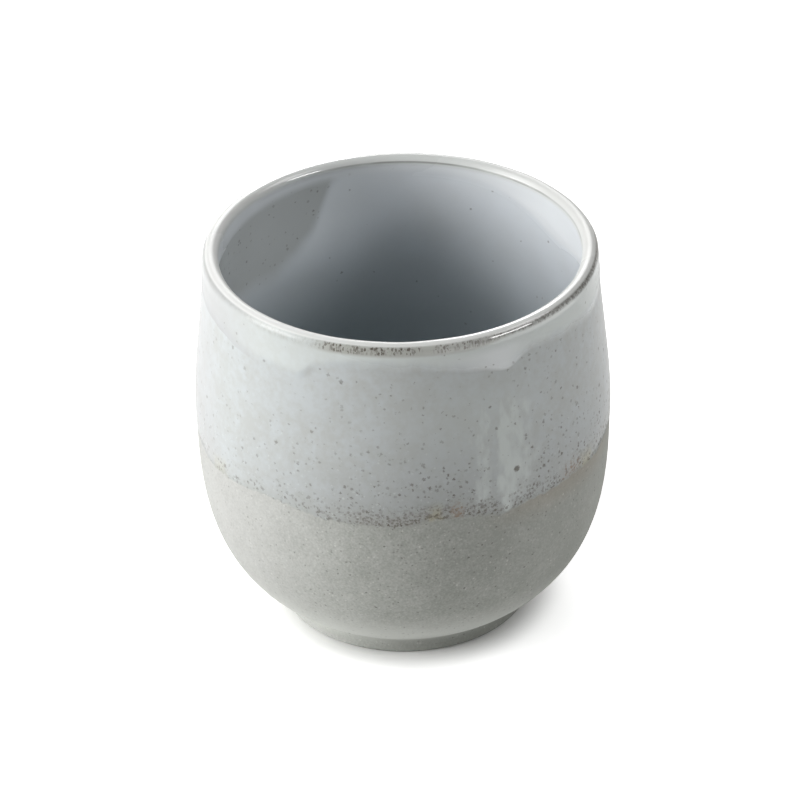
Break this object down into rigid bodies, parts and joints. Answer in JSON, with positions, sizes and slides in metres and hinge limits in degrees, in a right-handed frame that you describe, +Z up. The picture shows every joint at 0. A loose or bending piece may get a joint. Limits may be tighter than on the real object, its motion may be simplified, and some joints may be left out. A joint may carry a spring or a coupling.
{
  "type": "yunomi tea cup",
  "caption": "Handleless stoneware tea cup with a round belly and a short foot ring, glazed inside and over the upper half outside, bare clay below.",
  "frame": {"origin": "centre of the foot ring's standing face, on the table", "axes": "+Z up along the cup's axis of turning; X and Y lie in the table, and the cup looks the same about Z apart from its glaze"},
  "size_m": [0.082, 0.082, 0.079],
  "materials": {
    "stoneware": "matte",
    "liner_glaze": "gloss",
    "dip_glaze": "satin",
    "lip_glaze": "gloss"
  },
  "bodies": {
    "root": {"clay_body": "stoneware", "foot_ring": "stoneware", "liner_glaze": "liner_glaze", "dip_glaze": "dip_glaze", "lip_glaze": "lip_glaze"}
  },
  "joints": []
}
